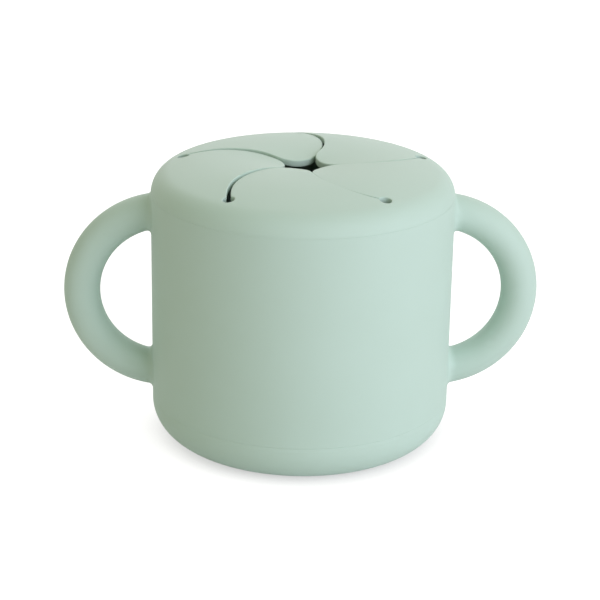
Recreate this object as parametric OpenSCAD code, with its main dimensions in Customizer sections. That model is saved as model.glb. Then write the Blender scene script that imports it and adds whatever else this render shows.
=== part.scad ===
// Toddler snack cup in soft silicone: a round cup with two ring handles, and a pressed-on lid
// whose top is cut into five curved flaps that a small hand pushes through.
// Origin at the middle of the base, +Z up, the handles along X.

/* [Cup] */
// Outside diameter of the cup and the lid
cup_d = 90; // [84:0.5:96]
// Height of the cup's rim, where the lid sits
cup_h = 75.8; // [73.4:0.2:90]
// Thickness of the cup's wall
wall = 3; // [2.4:0.1:3.6]
// Thickness of the cup's base
base_t = 3.6; // [2.6:0.1:5]
// Outside radius between the wall and the base
base_round = 10.5; // [8:0.5:12]
// Width of the flat ring that the cup stands on
foot_w = 6; // [4:0.5:10]
// Depth of the dished middle of the underside
foot_recess = 0.8; // [0.4:0.1:1.2]
// Size of the lead-in chamfer inside the rim
rim_lead = 0.6; // [0.3:0.1:1]

/* [Handles] */
// Diameter of the handle's round bar
handle_d = 10.8; // [9:0.2:12]
// Radius of the handle's ring, to the middle of the bar
handle_reach = 25.1; // [23:0.1:26]
// How far the ring's centre lies inside the wall
handle_sink = 4.3; // [3:0.1:6]
// Space between a handle's upper root and the cup's rim
handle_clear = 0.1; // [0.1:0.1:2]
// How much wider the bar gets where it joins the wall
root_flare = 1; // [0.4:0.1:1.1]
// Length of the widened root
root_len = 3; // [2:0.5:5]

/* [Lid] */
// Height of the lid above the cup's rim
lid_h = 9; // [8.6:0.1:10]
// Radius of the gentle arch across the lid's top
arch_r = 84; // [74:1:110]
// Distance from the centre to the arch's highest ring
arch_at = 18.8; // [16:0.1:21]
// Radius of the lid's outer shoulder
shoulder_r = 7.4; // [6:0.1:8.5]
// Thickness of the lid's top and of the flaps
plate_t = 1.9; // [1.6:0.1:2.1]
// Depth of the collar that plugs into the cup
collar_h = 8; // [7:0.5:12]
// Thickness of the collar
collar_t = 2; // [1.6:0.1:2.1]
// Space between the collar and the cup's bore
collar_gap = 0.5; // [0.3:0.05:0.6]
// Radius of each sealing rib round the collar
rib_r = 0.6; // [0.55:0.05:0.9]
// Space between a sealing rib's crest and the cup's bore
rib_gap = 0.05; // [0.03:0.01:0.1]
// Direction of the first slit's end hole, from +X towards +Y
lid_turn = 89.4; // [0:0.2:360]

/* [Flaps] */
// Radius of the ring of slit-end holes
hole_ring = 37.5; // [34:0.1:37.8]
// Diameter of a slit-end hole
hole_d = 3.4; // [3.3:0.1:3.8]
// Angle that a slit sweeps between its end hole and the centre
slit_sweep = 24; // [18:0.1:28]
// Length of a slit's straight stretch next to the flaps' rounded tips
slit_straight = 0.2; // [0.1:0.1:3]
// Width of a slit at its inner end
slit_w = 0.35; // [0.3:0.05:0.5]
// Width of a slit at its end hole
slit_w_hole = 0.9; // [0.8:0.05:1.1]
// Radius of a flap's rounded tip
tip_r = 7.5; // [5:0.1:8.5]
// Space between a flap's rounded root and its seat in the lid
hinge_gap = 0.08; // [0.05:0.01:0.1]
// Space at each end of a flap's rounded root
root_end_gap = 0.25; // [0.2:0.05:0.4]
// How much further out the seat reaches below the hinge, for the flap to swing
swing_room = 0.15; // [0.1:0.05:0.4]

/* [Hidden] */
$fn = 96;
sage = [0.70, 0.79, 0.74];

flap_count = 5;
step = 360 / flap_count;
cup_r = cup_d / 2;
bore_r = cup_r - wall;
lid_top = cup_h + lid_h;
past = 1;        // how far a cut runs past the face it goes through
arc_steps = 12;  // straight pieces in each curved stretch of a flap's outline
cover = 0.03;    // how much wider a flap's round root is than the plate it covers
root_lap = 0.05; // how far the small end of a handle's root lies inside the bar

// --- where a handle's ring meets the wall ---
root_dir = acos(handle_sink / handle_reach);  // direction from the ring's centre
root_top = handle_reach * sin(root_dir) + (handle_d / 2 + root_flare) / sin(root_dir);
handle_z = cup_h - handle_clear - root_top;

// --- lid sections, in the plane of radius and height ---
arch_z = lid_top - arch_r;
shoulder_x = cup_r - shoulder_r;
shoulder_z = arch_z + sqrt(pow(arch_r - shoulder_r, 2) - pow(shoulder_x - arch_at, 2));
// Where the arch runs smoothly into the shoulder
meet_x = arch_at + (shoulder_x - arch_at) * arch_r / (arch_r - shoulder_r);
function arch_height(r) = arch_z + sqrt(arch_r * arch_r - pow(r - arch_at, 2));
collar_out = bore_r - collar_gap;
collar_in = collar_out - collar_t;
rib_places = [0.35, 0.7];    // sealing ribs, as shares of the collar's depth
collar_lead = collar_t / 3;  // chamfer round the collar's lower edge

// --- flap hinges: a chord from one slit-end hole to the next ---
chord_mid = hole_ring * cos(step / 2);
chord_len = 2 * hole_ring * sin(step / 2);
arch_drop = arch_height(chord_mid) - arch_height(hole_ring);
hinge_z = (arch_height(chord_mid) + arch_height(hole_ring) - plate_t) / 2;
root_r = (plate_t + abs(arch_drop)) / 2 + cover;
seat_r = root_r + hinge_gap;
seat_len = chord_len - hole_d / 2;
flap_root_len = seat_len - 2 * root_end_gap;

// --- slits: an arc from the end hole, then straight to the flaps' rounded tips ---
arc_from = (tip_r + slit_w / 2) / tan(step / 2) + slit_straight;
lead = [cos(slit_sweep), -sin(slit_sweep)];
side = [sin(slit_sweep), cos(slit_sweep)];
hole_along = hole_ring * lead[0] - arc_from;
hole_aside = hole_ring * side[0];
slit_r = (hole_along * hole_along + hole_aside * hole_aside) / (2 * hole_aside);
slit_c = arc_from * lead + slit_r * side;
hole_dir = atan2(-slit_c[1], hole_ring - slit_c[0]);
inner_dir = atan2(-side[1], -side[0]);
turn = hole_dir - inner_dir;
// The outer wall's circle is a little off the centre line's, so that the slit widens to its hole
shift = (slit_w_hole - slit_w) / (1 - cos(turn));
outer_c = slit_c + shift * [cos(hole_dir), sin(hole_dir)];
outer_r = slit_r + slit_w_hole - slit_w / 2 - shift;
inner_r = slit_r - slit_w / 2;

function polar(r, a) = [r * cos(a), r * sin(a)];
function turned(p, a) = [p[0] * cos(a) - p[1] * sin(a), p[0] * sin(a) + p[1] * cos(a)];
function slit_wall(c, r, a_from, a_to) =
    [for (i = [0 : arc_steps]) c + polar(r, a_from + (a_to - a_from) * i / arc_steps)];

// --- cup ---
module cup_section() {
    difference() {
        square([cup_r, cup_h]);
        // rounded outer corner
        difference() {
            translate([cup_r - base_round, -past]) square([base_round + past, base_round + past]);
            translate([cup_r - base_round, base_round]) circle(base_round);
            translate([cup_r - base_round - past, -past]) square([past, base_round + past]);
        }
        // hollow, with its own rounded corner
        difference() {
            translate([-past, base_t]) square([bore_r + past, cup_h]);
            difference() {
                translate([bore_r - base_round + wall, base_t])
                    square([base_round - wall, base_round - wall]);
                translate([bore_r - base_round + wall, base_t + base_round - wall])
                    circle(base_round - wall);
            }
        }
        // lead-in chamfer inside the rim
        polygon([[bore_r - past, cup_h - rim_lead - past], [bore_r - past, cup_h + past],
                 [bore_r + rim_lead + past, cup_h + past]]);
        // dished underside
        translate([-past, -past])
            square([past + cup_r - base_round - foot_w, past + foot_recess]);
    }
}
module cup_body() {
    color(sage) rotate_extrude() intersection() {
        cup_section();
        square([cup_r + past, cup_h]);
    }
}

// --- handles ---
module handle_root(up) {
    translate([handle_sink, 0, up * handle_reach * sin(root_dir)])
        rotate([0, 90 + up * (90 - root_dir), 0])
            translate([0, 0, -past])
                cylinder(h = root_len + past, r1 = handle_d / 2 + root_flare * (1 + past / root_len),
                         r2 = handle_d / 2 - root_lap);
}
module handle() {
    difference() {
        translate([cup_r - handle_sink, 0, handle_z]) {
            rotate([90, 0, 0]) rotate_extrude() translate([handle_reach, 0]) circle(d = handle_d);
            handle_root(1);
            handle_root(-1);
        }
        translate([0, 0, -past]) cylinder(h = cup_h + 2 * past, r = cup_r);
    }
}
module right_handle() {
    color(sage) handle();
}
module left_handle() {
    color(sage) mirror([1, 0, 0]) handle();
}

// --- lid ---
module lid_section() {
    difference() {
        union() {
            // arched top
            intersection() {
                translate([arch_at, arch_z]) circle(arch_r, $fn = 360);
                translate([0, cup_h]) square([meet_x, lid_h + past]);
            }
            // rounded shoulder
            intersection() {
                union() {
                    translate([shoulder_x, shoulder_z]) circle(shoulder_r);
                    translate([shoulder_x, cup_h - lid_h]) square([shoulder_r, lid_h + shoulder_z - cup_h]);
                }
                translate([meet_x, cup_h]) square([cup_r - meet_x + past, lid_h]);
            }
            // collar with its ribs
            polygon([[collar_in - past, cup_h + past], [collar_in - past, cup_h - collar_h],
                     [collar_out - collar_lead, cup_h - collar_h],
                     [collar_out, cup_h - collar_h + collar_lead], [collar_out, cup_h + past]]);
            for (k = rib_places)
                translate([bore_r - rib_gap - rib_r, cup_h - k * collar_h]) circle(rib_r, $fn = 32);
        }
        // the middle is left open for the flaps
        translate([-past, cup_h]) square([chord_mid - 2 * seat_r + past, lid_h + past]);
        // hollow inside the collar, up to the underside of the top
        intersection() {
            translate([arch_at, arch_z]) circle(arch_r - plate_t, $fn = 360);
            translate([-past, cup_h - collar_h - past]) square([collar_in + past, collar_h + lid_h]);
        }
    }
}
// Puts its children on the hinge of flap n: X inwards to the centre, Y along the chord
module at_hinge(n) {
    rotate([0, 0, lid_turn + (n - 0.5) * step]) translate([chord_mid, 0, hinge_z])
        mirror([1, 0, 0]) children();
}
// Round seat for a flap's root, open below for the flap to swing
module hinge_seat() {
    rotate([90, 0, 0]) linear_extrude(seat_len, center = true) {
        circle(seat_r);
        translate([-seat_r - swing_room, -lid_h]) square([seat_r + swing_room + past, lid_h]);
    }
}
module slit_holes() {
    for (n = [1 : flap_count])
        rotate([0, 0, lid_turn + (n - 1) * step])
            translate([hole_ring, 0, cup_h]) cylinder(h = lid_h + past, d = hole_d);
}
module lid() {
    color(sage) difference() {
        rotate_extrude() lid_section();
        // the five-sided opening that the flaps fill
        translate([0, 0, cup_h]) linear_extrude(lid_h + past)
            polygon([for (n = [0 : flap_count - 1]) polar(hole_ring, lid_turn + n * step)]);
        for (n = [1 : flap_count]) at_hinge(n) hinge_seat();
        slit_holes();
    }
}

// --- flaps ---
// Outline of the flap between the slit at 0 and the slit at one step
function flap_outline() = let (
    tip_c = polar((tip_r + slit_w / 2) / sin(step / 2), step / 2 - slit_sweep),
    tip_from = -90 - slit_sweep,
    tip_sweep = 180 - step)
    concat(
        slit_wall(slit_c, inner_r, hole_dir, inner_dir),
        [for (i = [0 : arc_steps]) tip_c + polar(tip_r, tip_from - tip_sweep * i / arc_steps)],
        [for (p = slit_wall(outer_c, outer_r, inner_dir, hole_dir)) turned(p, step)],
        [polar(hole_ring, step) + polar(2 * root_r, step / 2),
         polar(hole_ring, 0) + polar(2 * root_r, step / 2)]);
module flap(n) {
    difference() {
        intersection() {
            // arched plate
            rotate_extrude() intersection() {
                difference() {
                    translate([arch_at, arch_z]) circle(arch_r, $fn = 360);
                    translate([arch_at, arch_z]) circle(arch_r - plate_t, $fn = 360);
                }
                translate([past, cup_h]) square([hole_ring, lid_h + past]);
            }
            rotate([0, 0, lid_turn + (n - 1) * step]) translate([0, 0, cup_h])
                linear_extrude(lid_h + past) polygon(flap_outline());
            // everything on the centre's side of the hinge, and the round root
            at_hinge(n) {
                rotate([90, 0, 0]) cylinder(h = flap_root_len, r = root_r, center = true);
                translate([0, -chord_len, -lid_h]) cube([2 * hole_ring, 2 * chord_len, 2 * lid_h]);
            }
        }
        slit_holes();
    }
}
module flap_1() {
    color(sage) flap(1);
}
module flap_2() {
    color(sage) flap(2);
}
module flap_3() {
    color(sage) flap(3);
}
module flap_4() {
    color(sage) flap(4);
}
module flap_5() {
    color(sage) flap(5);
}

cup_body();
left_handle();
right_handle();
lid();
flap_1();
flap_2();
flap_3();
flap_4();
flap_5();
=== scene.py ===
# %% [markdown]
# # A toddler's snack cup in soft silicone
#
# The real cup is two soft mouldings. One is the round cup with its two ring handles. The other is the
# lid, whose arched top is cut into five curved flaps: a small hand pushes down through them, and they
# spring back, so that the snacks stay in. The solids come in first as a fixed frame that gives every
# size and every joint. The pieces below stand for them with the same shapes, plus the small radii, the
# mould line and the bending roots that make silicone look soft.

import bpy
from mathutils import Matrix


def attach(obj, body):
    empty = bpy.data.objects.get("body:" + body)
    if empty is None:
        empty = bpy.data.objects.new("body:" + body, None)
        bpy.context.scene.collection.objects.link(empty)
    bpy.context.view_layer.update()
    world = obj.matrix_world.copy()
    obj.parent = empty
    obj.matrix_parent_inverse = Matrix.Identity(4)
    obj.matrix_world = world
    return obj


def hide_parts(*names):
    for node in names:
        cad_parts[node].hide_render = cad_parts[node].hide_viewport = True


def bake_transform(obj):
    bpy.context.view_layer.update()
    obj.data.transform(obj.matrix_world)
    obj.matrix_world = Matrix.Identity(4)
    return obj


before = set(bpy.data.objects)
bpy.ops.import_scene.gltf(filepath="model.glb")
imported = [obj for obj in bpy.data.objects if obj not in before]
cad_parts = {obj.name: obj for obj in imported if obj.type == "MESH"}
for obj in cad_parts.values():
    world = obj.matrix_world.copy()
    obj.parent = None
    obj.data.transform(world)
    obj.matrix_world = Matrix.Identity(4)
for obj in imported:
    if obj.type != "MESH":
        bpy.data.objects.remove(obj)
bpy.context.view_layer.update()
print("solids:", sorted(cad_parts))

# %% The tools
import math

import bmesh
import bpy
import numpy as np
from mathutils import Matrix, Vector
from mathutils.geometry import delaunay_2d_cdt

# %% [markdown]
# ## Sizes
#
# All sizes are in millimetres, with the origin in the middle of the base and +Z up. The cup's and the
# handles' sizes come first. `edge` values are the small radii that a mould leaves on every corner.

# %% Sizes of the cup and its handles
cup_r, cup_h, wall, base_t = 45.0, 75.8, 3.0, 3.6
bore_r = cup_r - wall
base_round, foot_w, foot_recess, rim_lead = 10.5, 6.0, 0.8, 0.6
bar_r, ring_r = 5.4, 25.1
ring_x, ring_z = cup_r - 4.3, 44.475
# The mould line: a shallow groove with a long lower side, and the wall above it
groove_low, groove_z, groove_high, groove_depth, wall_from = 11.3, 12.3, 12.55, 0.1, 12.8
print("outside over the handles, mm:", round(2 * (ring_x + ring_r + bar_r), 1))

# %% Sizes of the lid
lid_top, arch_r, arch_at, shoulder_r, plate_t = cup_h + 9.0, 84.0, 18.8, 7.4, 1.9
collar_h, collar_out, collar_in = 8.0, bore_r - 0.5, bore_r - 2.5
arch_z = lid_top - arch_r
shoulder_x = cup_r - shoulder_r
shoulder_z = arch_z + math.sqrt((arch_r - shoulder_r) ** 2 - (shoulder_x - arch_at) ** 2)
meet_x = arch_at + (shoulder_x - arch_at) * arch_r / (arch_r - shoulder_r)
print("the arch meets the shoulder at a radius of, mm:", round(meet_x, 2))


# %% [markdown]
# ## From points to one closed moulding
#
# Each moulding is one closed skin. It could be made of primitives joined by booleans, but thin slits
# and soft fillets come out ragged that way. Here every sheet of the skin is worked out as points, the
# sheets share the points along their seams, and welding closes them into one mesh.

# %% Gather sheets of points, then weld them
class Shell:
    """The points, in millimetres, and the faces of one moulding."""

    def __init__(self):
        self.points, self.faces = [], []

    def add(self, points, faces):
        """Points, and faces that number them from nought."""
        start = len(self.points)
        self.points.extend(points.tolist())
        self.faces.extend((faces + start).tolist())

    def sheet(self, rows):
        """Quads between rows of points, each row closed on itself."""
        grid = np.arange(rows.shape[0] * rows.shape[1]).reshape(rows.shape[:2])
        after = np.roll(grid, -1, axis=1)
        quads = np.stack([grid[:-1], after[:-1], after[1:], grid[1:]], -1).reshape(-1, 4)
        self.add(rows.reshape(-1, 3), quads)


weld_distance, crease = 2e-6, math.radians(40)


def moulding(name, shell, material):
    """Welds a shell into one smooth closed mesh object, in metres."""
    mesh = bpy.data.meshes.new(name)
    mesh.from_pydata([[v / 1000 for v in p] for p in shell.points], [], shell.faces)
    skin = bmesh.new()
    skin.from_mesh(mesh)
    bmesh.ops.remove_doubles(skin, verts=skin.verts, dist=weld_distance)
    bmesh.ops.recalc_face_normals(skin, faces=skin.faces)
    for face in skin.faces:
        face.smooth = True
    loose = sum(not edge.is_manifold for edge in skin.edges)
    volume = skin.calc_volume() * 1e6
    skin.to_mesh(mesh)
    skin.free()
    mesh.set_sharp_from_angle(angle=crease)
    mesh.materials.append(material)
    made = bpy.data.objects.new(name, mesh)
    bpy.context.scene.collection.objects.link(made)
    print(f"{name}: {len(mesh.polygons)} faces, {loose} open edges, {volume:.2f} ml")
    return made


# %% Round a section's corners
def rounded(corners):
    """A line through (x, z, radius) corners, with an arc wherever a corner has a radius."""
    line = []
    for i, (x, z, radius) in enumerate(corners):
        corner = np.array([x, z], float)
        if not radius:
            line.append(corner)
            continue
        back, on = (np.array(corners[k][:2], float) - corner for k in (i - 1, i + 1))
        back, on = back / np.linalg.norm(back), on / np.linalg.norm(on)
        half = math.acos(back @ on) / 2
        middle = corner + (back + on) / np.linalg.norm(back + on) * radius / math.sin(half)
        first, last = (corner + way * radius / math.tan(half) - middle for way in (back, on))
        turn = math.pi - 2 * half
        for t in np.linspace(0, 1, 5 + int(2 * radius)):
            near, far = math.sin(turn - t * turn), math.sin(t * turn)
            line.append(middle + (first * near + last * far) / math.sin(turn))
    return held(np.array(line))


def held(line, from_end=0.25, apart=4):
    """The line with extra points near the ends of its long stretches, so that they shade flat."""
    out = [line[0]]
    for a, b in zip(line[:-1], line[1:]):
        length = np.linalg.norm(b - a)
        if length > 1:
            spaced = np.linspace(0, length, 2 + int(length / apart))[1:-1]
            stops = [from_end, *spaced, length - from_end]
            out += [a + (b - a) * s / length for s in stops]
        out.append(b)
    return np.array(out)


# %% Turn a section round the axis
column_count = 288
columns = np.radians(np.arange(column_count) * 360 / column_count)


def revolved(line):
    """Rows of points: the section's line turned round the cup's axis."""
    x, y = np.outer(line[:, 0], np.cos(columns)), np.outer(line[:, 0], np.sin(columns))
    return np.stack([x, y, np.repeat(line[:, 1:], len(columns), axis=1)], -1)


# %% Fill an outline with triangles
def inside(points, loop):
    """Whether each point lies inside a closed loop."""
    x, y = points[:, :1], points[:, 1:]
    (x0, y0), (x1, y1) = loop.T, np.roll(loop, -1, axis=0).T
    with np.errstate(divide="ignore", invalid="ignore"):
        crossing = x0 + (y - y0) * (x1 - x0) / (y1 - y0)
    return (((y0 > y) != (y1 > y)) & (x < crossing)).sum(axis=1) % 2 == 1


def clear_of(points, others, gap):
    """The points that lie more than a gap away from all the others."""
    near = [np.linalg.norm(others - p, axis=1).min() > gap for p in points]
    return points[np.array(near, bool)]


def filled(outer, holes, extra):
    """Flat triangles between an outer loop and its holes, through the extra points too."""
    loops = [np.float32(loop).astype(float) for loop in (outer, *holes)]
    edges, start = [], 0
    for loop in loops:
        edges += [(start + i, start + (i + 1) % len(loop)) for i in range(len(loop))]
        start += len(loop)
    points = np.vstack([*loops, extra])
    made = delaunay_2d_cdt([Vector(p) for p in points], edges, [], 0, 1e-5)
    flat, triangles = np.array([p[:] for p in made[0]]), np.array(made[2])
    middles = flat[triangles].mean(axis=1)
    within = [inside(middles, loop) for loop in loops]
    return flat, triangles[within[0] & ~np.any(within[1:], axis=0)]


# %% [markdown]
# ## The finish
#
# Platinum-cured silicone rubber, compression moulded in a finely blasted steel mould. It is opaque,
# pigmented a pale sage, and quite matt: light falls off softly across it, and only at grazing angles
# is there a faint milky sheen. A scanned texture could give that, but silicone has so little pattern
# that a few nodes do it better and at any distance.

# %% Colours and nodes
def linear(colour):
    """An sRGB hex colour as linear RGBA."""
    channels = [int(colour[i : i + 2], 16) / 255 for i in (1, 3, 5)]
    return [c / 12.92 if c <= 0.04045 else ((c + 0.055) / 1.055) ** 2.4 for c in channels] + [1.0]


def add_node(tree, kind, settings=None, links=None):
    """Adds one node, sets its properties and sockets, and links other nodes' outputs to it."""
    node = tree.nodes.new(kind)
    for name, value in (settings or {}).items():
        if hasattr(node, name):
            setattr(node, name, value)
        else:
            node.inputs[name].default_value = value
    for name, source in (links or {}).items():
        tree.links.new(source, node.inputs[name])
    return node


def per_metre(size_mm):
    """The scale that gives a pattern features of this size."""
    return 1000 / size_mm


# %% Silicone rubber, compression moulded, matt
silicone = bpy.data.materials.new("silicone_rubber_moulded_matt")
silicone.use_nodes = True
tree = silicone.node_tree
tree.nodes.clear()
place = add_node(tree, "ShaderNodeTexCoord").outputs["Object"]
# Pigment that is mixed in by roller leaves clouds some 25 mm across, too faint to see as a pattern.
# The blasted mould's grain is about 0.05 mm; it is drawn at 0.4 mm, the finest that can show
cloud_mm, grain_mm, grain_depth_mm = 25, 0.4, 0.01
clouds = add_node(
    tree, "ShaderNodeTexNoise", {"Scale": per_metre(cloud_mm), "Detail": 2.0}, {"Vector": place}
)
pigment = add_node(
    tree,
    "ShaderNodeMix",
    {"data_type": "RGBA", "blend_type": "MIX"},
    {"Factor": clouds.outputs["Fac"]},
)
pigment.inputs["A"].default_value = linear("#B4CCC0")
pigment.inputs["B"].default_value = linear("#B7CFC4")
grain = add_node(
    tree, "ShaderNodeTexNoise", {"Scale": per_metre(grain_mm), "Detail": 3.0}, {"Vector": place}
)
relief = add_node(
    tree,
    "ShaderNodeBump",
    {"Strength": 0.25, "Distance": grain_depth_mm / 1000},
    {"Height": grain.outputs["Fac"]},
)
matt = add_node(
    tree,
    "ShaderNodeBsdfPrincipled",
    {"Roughness": 0.68, "IOR": 1.41, "Sheen Weight": 0.06, "Sheen Roughness": 0.5},
    {"Base Color": pigment.outputs["Result"], "Normal": relief.outputs["Normal"]},
)
add_node(tree, "ShaderNodeOutputMaterial", links={"Surface": matt.outputs["BSDF"]})
print("nodes in the silicone:", len(tree.nodes))

# %% [markdown]
# ## The cup and its handles
#
# The cup is one moulding with its handles, so its skin runs from the wall into each handle without a
# seam. The wall is laid out flat, as if unrolled, and filled with triangles round four openings. Each
# opening is the foot of a small fillet that carries the skin on to the handle's round bar.

# %% The bar, and where it meets the wall
bar_columns = 96
around = np.radians(np.arange(bar_columns) * 360 / bar_columns)


def bar(along, turn):
    """Points on the right handle's bar, at angles along its ring and round the bar."""
    reach = ring_r + bar_r * np.cos(turn)
    side = bar_r * np.sin(turn) + 0 * along
    return np.stack([ring_x + reach * np.cos(along), side, ring_z + reach * np.sin(along)], -1)


at_wall = np.arccos(
    (np.sqrt(cup_r**2 - (bar_r * np.sin(around)) ** 2) - ring_x) / (ring_r + bar_r * np.cos(around))
)
meets = math.degrees(at_wall[bar_columns // 4])
print("the bar's middle meets the wall at, degrees round the ring:", round(meets, 1))


# %% The fillet at each root
def unrolled(points):
    """Points on the wall as distance round it and height."""
    return np.stack([cup_r * np.arctan2(points[:, 1], points[:, 0]), points[:, 2]], -1)


def on_wall(flat):
    """The unrolled points back on the round wall."""
    angle = flat[:, 0] / cup_r
    return np.stack([cup_r * np.cos(angle), cup_r * np.sin(angle), flat[:, 1]], -1)


# The fillets are full at the bar's sides and smaller in the ring's hole. They are smallest close below
# the lid's edge, at the upper end (1), and close above the mould line, at the lower end (-1)
fillet_side, fillet_less, fillet_lost, fillet_rows = 2.8, 1.2, {1: 0.8, -1: 0.4}, 8


def root(end):
    """Rows from the wall on to the bar at one end of a handle, and their flat foot."""
    corner = bar(end * at_wall, around)
    flat = unrolled(corner)
    way = np.roll(flat, -1, axis=0) - np.roll(flat, 1, axis=0)
    out = np.stack([way[:, 1], -way[:, 0]], -1) / np.linalg.norm(way, axis=1)[:, None]
    out *= np.sign((out * (flat - flat.mean(axis=0))).sum(axis=1))[:, None]
    size = fillet_side - fillet_less * out[:, 1] ** 2
    size = size - fillet_lost[end] * np.clip(end * out[:, 1], 0, 1) ** 2
    foot = flat + out * size[:, None]
    start = on_wall(foot)
    stop = bar(end * (at_wall - size / (ring_r + bar_r * np.cos(around))), around)
    t = np.linspace(0, 1, fillet_rows)[:, None, None]
    return (1 - t) ** 2 * start + 2 * t * (1 - t) * corner + t**2 * stop, foot


upper, upper_foot = root(1)
lower, lower_foot = root(-1)
print("top of the upper fillet, mm:", round(float(upper_foot[:, 1].max()), 2))

# %% The handles' skins
loop_rows = 90
cup = Shell()
first, last = (
    np.arctan2(rows[-1, :, 2] - ring_z, rows[-1, :, 0] - ring_x) for rows in (upper, lower)
)
loop = bar(first + (last - first) * np.linspace(0, 1, loop_rows)[1:-1, None], around)
right = np.concatenate([upper, loop, lower[::-1]])
for side in (1, -1):
    cup.sheet(right * [side, 1, 1])
print("rows along each handle:", len(right))

# %% [markdown]
# ### The wall
#
# A fine line runs round the real wall 12 mm up, where two halves of the mould meet. It is a shallow
# groove with a gentle lower side. Above it the wall is straight up to the rim.

# %% The wall, unrolled and filled
wall_to, wall_rows = cup_h - 0.25, 32
foot_half, foot_gap = 12, 0.7
heights = np.linspace(wall_from, wall_to, wall_rows)
seam = 1.5 * math.pi
arcs = cup_r * (np.radians(np.arange(column_count + 1) * 360 / column_count) - seam)
rim_loop = np.vstack(
    [
        np.stack([arcs, 0 * arcs + wall_from], -1),
        np.stack([0 * heights[1:-1] + arcs[-1], heights[1:-1]], -1),
        np.stack([arcs[::-1], 0 * arcs + wall_to], -1),
        np.stack([0 * heights[1:-1] + arcs[0], heights[-2:0:-1]], -1),
    ]
)
feet = [upper_foot, lower_foot]
feet += [np.array([-math.pi * cup_r, 0]) + foot * [-1, 1] for foot in feet]
grid = np.stack(np.meshgrid(arcs[1:-1], heights[1:-1]), -1).reshape(-1, 2)
for foot in feet:
    near = np.abs(grid - foot.mean(axis=0)).max(axis=1) < foot_half
    kept = clear_of(grid[near], foot, foot_gap)
    grid = np.vstack([grid[~near], kept[~inside(kept, foot)]])
flat, triangles = filled(rim_loop, feet, grid)
cup.add(on_wall(flat), triangles)
print("triangles on the wall:", len(triangles))

# %% The base, the mould line, the rim and the hollow
sharp_edge, soft_edge = 0.06, 0.25
below = rounded(
    [
        (0, foot_recess, 0),
        (cup_r - base_round - foot_w, foot_recess, soft_edge),
        (cup_r - base_round - foot_w, 0, soft_edge),
        (cup_r, 0, base_round),
        (cup_r, groove_low, 0.8),
        (cup_r - groove_depth, groove_z, 0.1),
        (cup_r, groove_high, 0.1),
        (cup_r, wall_from, 0),
    ]
)
above = rounded(
    [
        (cup_r, wall_to, 0),
        (cup_r, cup_h, sharp_edge),
        (bore_r + rim_lead, cup_h, soft_edge),
        (bore_r, cup_h - rim_lead, 0.4),
        (bore_r, base_t, base_round - wall),
        (0, base_t, 0),
    ]
)
cup.sheet(revolved(below))
cup.sheet(revolved(above))
cup_piece = moulding("cup_with_handles", cup, silicone)
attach(cup_piece, "cup")
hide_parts("cup_body", "left_handle", "right_handle")

# %% [markdown]
# ## The lid's slits
#
# Five slits are cut into the lid's arched top. Each leaves the centre straight, then bends round to a
# small round hole that stops the silicone tearing. Between two slits is a flap. Its outline is made of
# arcs and straight lines that run into each other, with a small radius where a slit opens into a hole.

# %% Sizes of the slits
step = math.radians(72)
lid_turn, sweep = math.radians(89.4), math.radians(24)
hole_ring, hole_r = 37.5, 1.7
slit_w, tip_r, corner_r = 0.35, 7.5, 0.5
# How far a flap keeps from the middle line of its first and of its second slit, at their holes. Some
# slits gape there, and two have pressed themselves nearly shut
snug = slit_w / 2
gaps_at_holes = {
    1: (snug, 0.725),
    2: (snug, 0.45),
    3: (0.85, 0.275),
    4: (snug, 0.275),
    5: (snug, 0.725),
}
straight = (tip_r + slit_w / 2) / math.tan(step / 2) + 0.2
chord_mid = hole_ring * math.cos(step / 2)


def polar(radius, angle):
    """A flat point, by its distance from the axis and its direction."""
    return radius * np.array([math.cos(angle), math.sin(angle)])


def turned(points, angle):
    """Flat points turned about the axis."""
    c, s = math.cos(angle), math.sin(angle)
    return points @ np.array([[c, s], [-s, c]])


lead, aside = polar(1, -sweep), polar(1, math.pi / 2 - sweep)
to_hole = hole_ring * np.array([lead[0], aside[0]]) - [straight, 0]
slit_r = (to_hole @ to_hole) / (2 * to_hole[1])
slit_c = straight * lead + slit_r * aside
hole_dir = math.atan2(-slit_c[1], hole_ring - slit_c[0])
inner_dir = math.atan2(-aside[1], -aside[0])
print("radius of a slit's bend, mm:", round(slit_r, 1))


# %% Walls along arcs and lines
# A wall is rows of x, y, the direction away from the silicone, and 1 where the edge is free to see
arc_step, line_step = 0.4, 0.6


def arc(centre, radius, start, end, clockwise, convex):
    """A free wall round a centre, from the direction of one point to the direction of another."""
    from_angle, to_angle = (math.atan2(p[1] - centre[1], p[0] - centre[0]) for p in (start, end))
    turn = (to_angle - from_angle) % (2 * math.pi) - (2 * math.pi if clockwise else 0)
    count = max(5, 1 + int(radius * abs(turn) / arc_step))
    angles = from_angle + turn * np.linspace(0, 1, count)
    away = np.stack([np.cos(angles), np.sin(angles)], -1)
    out = away if convex else -away
    return np.hstack([centre + radius * away, out, np.ones((count, 1))])


def line(start, end, out, free):
    """A straight wall that faces one way, free (1) or joined to the rest of the lid (0)."""
    count = max(3, 2 + int(np.linalg.norm(end - start) / line_step))
    points = start + (end - start) * np.linspace(0, 1, count)[:, None]
    return np.hstack([points, np.tile([*out, free], (count, 1))])


def meeting(c0, r0, c1, r1, near):
    """Where two circles cross, nearest to a point."""
    gap = c1 - c0
    length = np.linalg.norm(gap)
    along = (r0**2 - r1**2 + length**2) / (2 * length)
    off = math.sqrt(r0**2 - along**2) * np.array([-gap[1], gap[0]]) / length
    middle = c0 + gap * along / length
    return min((middle + off, middle - off), key=lambda p: np.linalg.norm(p - near))


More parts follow.
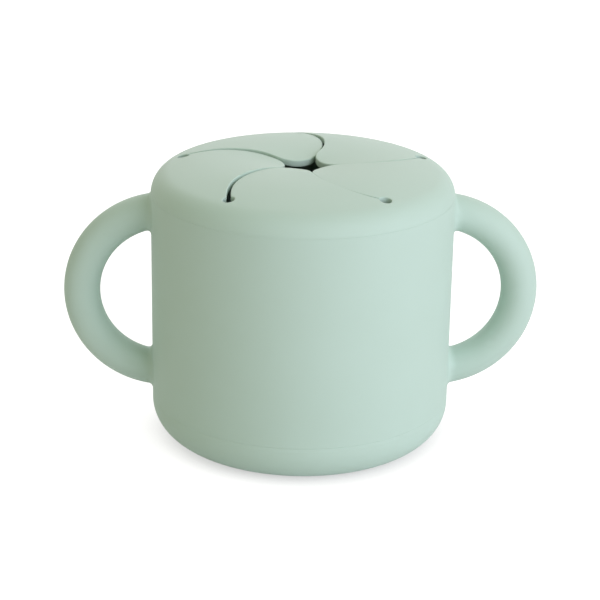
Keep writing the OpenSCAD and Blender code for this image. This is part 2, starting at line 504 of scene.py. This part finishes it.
# %% The outline of a flap, and of the lid round the flaps
# The flap and the lid are one moulding. They meet on a line just outside the bend, which runs from
# one hole to the next with a short 45-degree cut at each end
edge_top, edge_low = 0.3, 0.12
root_out = 1.9
cut = math.radians(81)
hole_0, hole_1 = polar(hole_ring, 0), polar(hole_ring, step)
cut_0 = [hole_0 + polar(r, cut) for r in (hole_r + edge_top, root_out * math.sqrt(2))]
cut_1 = [hole_1 + polar(r, step - cut) for r in (hole_r + edge_top, root_out * math.sqrt(2))]
hinge_out = polar(1, step / 2)
tip_c = polar((tip_r + slit_w / 2) / math.sin(step / 2), step / 2 - sweep)
far_side = turned(aside, step)


def opened(gap):
    """How far a wall's centre moves to open its side of a slit to this gap at the hole."""
    return (gap - snug) / (1 - math.cos(hole_dir - inner_dir))


# %% The flap's outline, clockwise from its first hole
def flap_outline(gap_0, gap_1):
    """Walls round a flap that keeps this far from the middle of its slits, at their holes."""
    inner_c, inner_r = slit_c - opened(gap_0) * aside, slit_r - snug - opened(gap_0)
    outer_c = turned(slit_c + opened(gap_1) * polar(1, hole_dir), step)
    outer_r = slit_r + gap_1 - opened(gap_1)
    fillet_0 = meeting(inner_c, inner_r - corner_r, hole_0, hole_r + corner_r, hole_0 - 2 * lead)
    beside = hole_1 - polar(2, step - cut / 2)
    fillet_1 = meeting(outer_c, outer_r + corner_r, hole_1, hole_r + corner_r, beside)
    return np.vstack(
        [
            arc(inner_c, inner_r, fillet_0, inner_c - aside, True, True),
            arc(tip_c, tip_r, tip_c - aside, tip_c + far_side, True, True),
            arc(outer_c, outer_r, outer_c - turned(aside, step), fillet_1, False, False),
            arc(fillet_1, corner_r, outer_c, hole_1, True, True),
            arc(hole_1, hole_r, fillet_1, cut_1[1], False, False),
            line(cut_1[0], cut_1[1], hinge_out, 0),
            line(cut_1[1], cut_0[1], hinge_out, 0)[1:],
            line(cut_0[1], cut_0[0], hinge_out, 0)[1:],
            arc(hole_0, hole_r, cut_0[1], fillet_0, False, False),
            arc(fillet_0, corner_r, hole_0, 2 * fillet_0 - inner_c, True, True),
        ]
    )


print("points round a flap:", len(flap_outline(*gaps_at_holes[1])))

# %% The lid's inner outline, round all five holes
ring_part = np.vstack(
    [
        arc(hole_0, hole_r, hole_0 + polar(1, -cut), cut_0[1], False, False),
        line(cut_0[0], cut_0[1], -hinge_out, 0),
        line(cut_0[1], cut_1[1], -hinge_out, 0)[1:],
        line(cut_1[1], cut_1[0], -hinge_out, 0)[1:],
    ]
)


def placed(outline, n):
    """An outline turned to where flap n is."""
    angle = lid_turn + (n - 1) * step
    points, away = turned(outline[:, :2], angle), turned(outline[:, 2:4], angle)
    return np.hstack([points, away, outline[:, 4:]])


ring_outline = np.vstack([placed(ring_part, n) for n in range(1, 6)])
print("points round the lid's opening:", len(ring_outline))


# %% Skins over an outline
def top_z(flat):
    """Height of the lid's outside: the arch, then the shoulder."""
    r = np.linalg.norm(flat, axis=1)
    arch = arch_z + np.sqrt(arch_r**2 - (r - arch_at) ** 2)
    shoulder = shoulder_z + np.sqrt(np.maximum(shoulder_r**2 - (r - shoulder_x) ** 2, 0))
    return np.where(r < meet_x, arch, shoulder)


def low_z(flat):
    """Height of the underside of the lid's top."""
    r = np.linalg.norm(flat, axis=1)
    return arch_z + np.sqrt((arch_r - plate_t) ** 2 - (r - arch_at) ** 2)


def drawn_in(outline, by):
    """The outline's loop, drawn into the silicone on its free edges."""
    return outline[:, :2] - outline[:, 2:4] * outline[:, 4:] * by


def edge_walls(outline):
    """Rows of points down an outline's wall, with its rounded top and bottom edges."""
    rows = []
    for a in np.radians([0, 22.5, 45, 67.5, 90]):
        flat = drawn_in(outline, edge_top * (1 - math.sin(a)))
        rows.append(np.column_stack([flat, top_z(flat) - edge_top * (1 - math.cos(a))]))
    for a in np.radians([90, 60, 30, 0]):
        flat = drawn_in(outline, edge_low * (1 - math.sin(a)))
        rows.append(np.column_stack([flat, low_z(flat) + edge_low * (1 - math.cos(a))]))
    down = [rows[4] + (rows[5] - rows[4]) * t for t in (0.33, 0.67)]
    return np.array(rows[:5] + down + rows[5:])


def spread(loop, outline, grid, row_in=0.35, row_gap=0.2, grid_gap=0.4):
    """Extra points for a fill: a row just inside the loop, and a grid where it is clear of that."""
    row = loop - outline[:, 2:4] * row_in
    row = clear_of(row, loop, row_gap)
    return np.vstack([row, clear_of(grid, np.vstack([loop, row]), grid_gap)])


# %% [markdown]
# ## The flaps
#
# A flap is as thick as the lid, and it is held only along its root, where it bends smoothly over about
# 5 mm instead of swinging like a door. So each flap is its own closed skin that meets the lid at the
# root. On a real lid the flaps never lie quite level: each has set a little higher or lower than the
# next and leans a little to one side, so that some slits gape and others hide.

# %% How each flap has set, and where it bends
# How far each flap has set above the arch at its tip, how much it leans sideways over 10 mm, and how
# much it curls up at both sides over 10 mm
flap_set = {
    1: (-0.71, 0.1, -0.12),
    2: (-0.43, 1.54, 0.58),
    3: (0.49, 0.42, -0.28),
    4: (-0.21, -0.35, -0.5),
    5: (0.39, 1.35, 0.47),
}
# How softly, in mm, a flap that would pass the lid's highest ring levels off below it
level_off = 0.1
# The extra points lie closer together near the bend
near_bend, further_in = np.arange(-1.5, 4.8, 0.6), np.arange(5.5, 36, 1.1)
across, inward = np.meshgrid(np.arange(-23, 23.1, 1.0), np.concatenate([near_bend, further_in]))

# %% Five flaps
for n, shape in flap_set.items():
    mid = lid_turn + (n - 0.5) * step
    outline = placed(flap_outline(*gaps_at_holes[n]), n)
    grid = np.outer(chord_mid - inward.ravel(), polar(1, mid))
    grid = grid + np.outer(across.ravel(), polar(1, mid + math.pi / 2))
    flap = Shell()
    walls = edge_walls(outline)
    flap.sheet(walls)
    for edge, height in ((edge_top, top_z), (edge_low, low_z)):
        loop = drawn_in(outline, edge)
        flat, triangles = filled(loop, [], spread(loop, outline, grid[inside(grid, loop)]))
        flap.add(np.column_stack([flat, height(flat)]), triangles)
    points = np.array(flap.points)
    reach = np.clip(1 - points[:, :2] @ polar(1 / chord_mid, mid), 0, None)
    sideways = points[:, :2] @ polar(0.1, mid + math.pi / 2)
    points[:, 2] += np.polynomial.polynomial.polyval(sideways, shape) * reach**1.5
    # The lid's highest ring stays the highest: a flap that would pass it levels off softly below it
    points[:, 2] = lid_top - level_off * np.log1p(np.exp((lid_top - points[:, 2]) / level_off))
    flap.points = points.tolist()
    piece = moulding(f"lid_flap_{n}", flap, silicone)
    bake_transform(piece)
    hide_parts(f"flap_{n}")

# %% [markdown]
# ## The lid's ring
#
# Round the flaps, the arched top runs on into a full rounded shoulder, which ends flush with the cup's
# wall. Below, a collar plugs into the cup. Two low ribs round the collar hold the lid on.

# %% The top and the underside, from the flaps to the shoulder
top_to, low_to = 40.3, 39.4
grid_from, grid_step, grid_short = 33, 0.75, 0.3
lid = Shell()
lid.sheet(edge_walls(ring_outline))
for edge, height, limit in ((edge_top, top_z, top_to), (edge_low, low_z, low_to)):
    loop = drawn_in(ring_outline, edge)
    outer = limit * np.stack([np.cos(columns), np.sin(columns)], -1)
    rings = np.arange(grid_from, limit - grid_short, grid_step)
    grid = np.vstack([outer * r / limit for r in rings])
    extra = spread(loop, ring_outline, grid[~inside(grid, loop)])
    extra = extra[np.linalg.norm(extra, axis=1) < limit - grid_short / 2]
    flat, triangles = filled(outer, [loop], extra)
    lid.add(np.column_stack([flat, height(flat)]), triangles)
print("triangles on the lid's underside:", len(triangles))

# %% The shoulder, the seat on the rim, the collar and its ribs
lid_edge = math.asin((cup_h - shoulder_z) / shoulder_r)
bend = np.linspace(math.acos((top_to - shoulder_x) / shoulder_r), lid_edge + 0.015, 26)
round_x, round_z = shoulder_r * np.cos(bend), shoulder_r * np.sin(bend)
shoulder = np.stack([shoulder_x + round_x, shoulder_z + round_z], -1)
# Each rib is wide at its root and narrow at its crest, which just clears the bore
rib_root, rib_crest, rib_r = 0.6, 0.15, bore_r - 0.05
ribs = []
for share in (0.35, 0.7):
    middle = cup_h - share * collar_h
    ribs += [(collar_out, middle + rib_root, 0.2), (rib_r, middle + rib_crest, 0.3)]
    ribs += [(rib_r, middle - rib_crest, 0.3), (collar_out, middle - rib_root, 0.2)]
collar_foot, collar_lead = cup_h - collar_h, 0.6
inner_top = float(low_z(np.array([[low_to, 0.0]]))[0])
below = rounded(
    [
        (*shoulder[-1], 0),
        (shoulder_x + shoulder_r * math.cos(lid_edge), cup_h, sharp_edge),
        (collar_out, cup_h, 0.3),
        *ribs,
        (collar_out, collar_foot + collar_lead, 0.3),
        (collar_out - collar_lead, collar_foot, 0.3),
        (collar_in, collar_foot, 0.4),
        (collar_in, inner_top - 0.1, 0),
        (low_to, inner_top, 0),
    ]
)
lid.sheet(revolved(np.vstack([shoulder[:-1], below])))
lid_piece = moulding("lid_ring", lid, silicone)
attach(lid_piece, "lid")
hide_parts("lid")

# %% [markdown]
# ## The table, the light and the camera
#
# The cup stands on a plain white table under soft light. A big lamp on the right gives the wall its
# slow fall from light to dark. A weaker one behind the cup brings out the far edges, the surroundings
# light the rest, and a faint lamp overhead fills the lid. To the eye the table is pure white except
# close round the cup, so it glows a little wherever nothing stands near, and its glow dims close round
# the cup as a painted contact shadow; the cup itself is lit by a plain matt table.

# %% Which rays should meet white
def seen(tree):
    """1 for camera rays and for those that show a background in gloss or glass, else 0."""
    path = add_node(tree, "ShaderNodeLightPath")
    total = add_node(tree, "ShaderNodeMath", {"operation": "ADD"})
    tree.links.new(path.outputs["Is Camera Ray"], total.inputs[0])
    tree.links.new(path.outputs["Is Glossy Ray"], total.inputs[1])
    either = add_node(tree, "ShaderNodeMath", {"operation": "ADD", "use_clamp": True})
    tree.links.new(total.outputs[0], either.inputs[0])
    tree.links.new(path.outputs["Is Transmission Ray"], either.inputs[1])
    return either.outputs[0]


def between(tree, unseen, shown, factor):
    """One colour for rays that only carry light, and another for rays that are seen."""
    mix = add_node(tree, "ShaderNodeMix", {"data_type": "RGBA"}, {"Factor": factor})
    mix.inputs["A"].default_value = linear(unseen)
    mix.inputs["B"].default_value = linear(shown)
    return mix.outputs["Result"]


# %% White laminate, pressed, matt, that keeps the lamps' shadow and a painted contact shadow
table = bpy.data.materials.new("white_table_matt_laminate")
table.use_nodes = True
tree = table.node_tree
tree.nodes.clear()
eye = seen(tree)
# The glow fades within 30 mm of whatever stands on the table, where the room's light can't reach. That
# fade is a painted contact shadow, worked out by ambient occlusion
painted_contact_shadow = add_node(tree, "ShaderNodeAmbientOcclusion", {"samples": 16, "Distance": 0.03})
glow_size = add_node(
    tree,
    "ShaderNodeMapRange",
    {"From Max": 0.69, "To Min": 0.52, "To Max": 0.95},
    {"Value": painted_contact_shadow.outputs["AO"]},
)
strength = add_node(
    tree, "ShaderNodeMath", {"operation": "MULTIPLY"}, {0: glow_size.outputs["Result"], 1: eye}
)
glow = add_node(
    tree, "ShaderNodeEmission", {"Color": linear("#FFFFFF")}, {"Strength": strength.outputs[0]}
)
paint = between(tree, "#E8E8E8", "#909090", eye)
laminate = add_node(tree, "ShaderNodeBsdfDiffuse", links={"Color": paint})
both = add_node(tree, "ShaderNodeAddShader", links={0: glow.outputs[0], 1: laminate.outputs[0]})
add_node(tree, "ShaderNodeOutputMaterial", links={"Surface": both.outputs[0]})
print("nodes in the table's finish:", len(tree.nodes))

# %% The table
span = 4.0  # metres from the middle to each side
floor_mesh = bpy.data.meshes.new("table")
corners = [(-span, -span, 0), (span, -span, 0), (span, span, 0), (-span, span, 0)]
floor_mesh.from_pydata(corners, [], [(0, 1, 2, 3)])
floor_mesh.materials.append(table)
floor = bpy.data.objects.new("table", floor_mesh)
bpy.context.scene.collection.objects.link(floor)
print("the table's side, m:", 2 * span)

# %% The surroundings
world = bpy.data.worlds.new("studio")
bpy.context.scene.world = world
world.use_nodes = True
tree = world.node_tree
tree.nodes.clear()
eye = seen(tree)
strength = add_node(tree, "ShaderNodeMapRange", {"To Min": 0.467, "To Max": 1.0}, {"Value": eye})
light = between(tree, "#FFFCDA", "#FFFFFF", eye)
sky = add_node(
    tree, "ShaderNodeBackground", links={"Color": light, "Strength": strength.outputs["Result"]}
)
add_node(tree, "ShaderNodeOutputWorld", links={"Surface": sky.outputs[0]})
dimmed = strength.inputs["To Min"].default_value
print("strength of the surroundings on the cup:", round(dimmed, 3))


# %% The lamps
lamp_distance, lamp_size, lamp_aim = 1.2, 1.2, Vector((0, 0, 0.045))


def lamp(name, azimuth, elevation, power, colour):
    """A soft square lamp that faces the cup: degrees from the front and up, and watts."""
    light = bpy.data.lights.new(name, "AREA")
    light.shape, light.size, light.energy = "SQUARE", lamp_size, power
    light.color = linear(colour)[:3]
    a, e = math.radians(azimuth), math.radians(elevation)
    way = Vector((math.sin(a) * math.cos(e), -math.cos(a) * math.cos(e), math.sin(e)))
    made = bpy.data.objects.new(name, light)
    made.location = lamp_aim + way * lamp_distance
    made.rotation_euler = way.to_track_quat("Z", "Y").to_euler()
    bpy.context.scene.collection.objects.link(made)
    print(f"{name}: {power} W")


lamp("key_right", 46, 18, 14.9, "#EBEAFF")
lamp("back", 180, 30, 6.8, "#F8EAFF")
lamp("top", 0, 88, 1.2, "#FFFFFF")

# %% The camera
# It stands 0.6 m off, a little above the cup. Its lens and its middle are in pixels of a square frame
distance, aim_z = 0.6, 0.0417256
elevation, roll, yaw = (math.radians(angle) for angle in (20.731, 0.961, -2.849))
frame_px, focal_px, middle_x, middle_y = 600, 1987.77, 301.343, 297.783
ahead = Vector((0, math.cos(elevation), -math.sin(elevation)))
across, up = Vector((1, 0, 0)), Vector((0, math.sin(elevation), math.cos(elevation)))
right = math.cos(roll) * across + math.sin(roll) * up
above = math.cos(roll) * up - math.sin(roll) * across
turn = Matrix.Rotation(yaw, 3, "Z")
axes = Matrix([turn @ right, turn @ above, turn @ -ahead]).transposed()
camera = bpy.data.cameras.new("camera")
camera.sensor_width = 36
camera.lens = focal_px * camera.sensor_width / frame_px
camera.shift_x = (frame_px / 2 - middle_x) / frame_px
camera.shift_y = (middle_y - frame_px / 2) / frame_px
camera_object = bpy.data.objects.new("camera", camera)
place = Vector((0, 0, aim_z)) - turn @ ahead * distance
camera_object.matrix_world = Matrix.Translation(place) @ axes.to_4x4()
bpy.context.scene.collection.objects.link(camera_object)
bpy.context.scene.camera = camera_object
print("lens, mm:", round(camera.lens, 1))

# %% Plain colour
bpy.context.scene.view_settings.view_transform = "Standard"
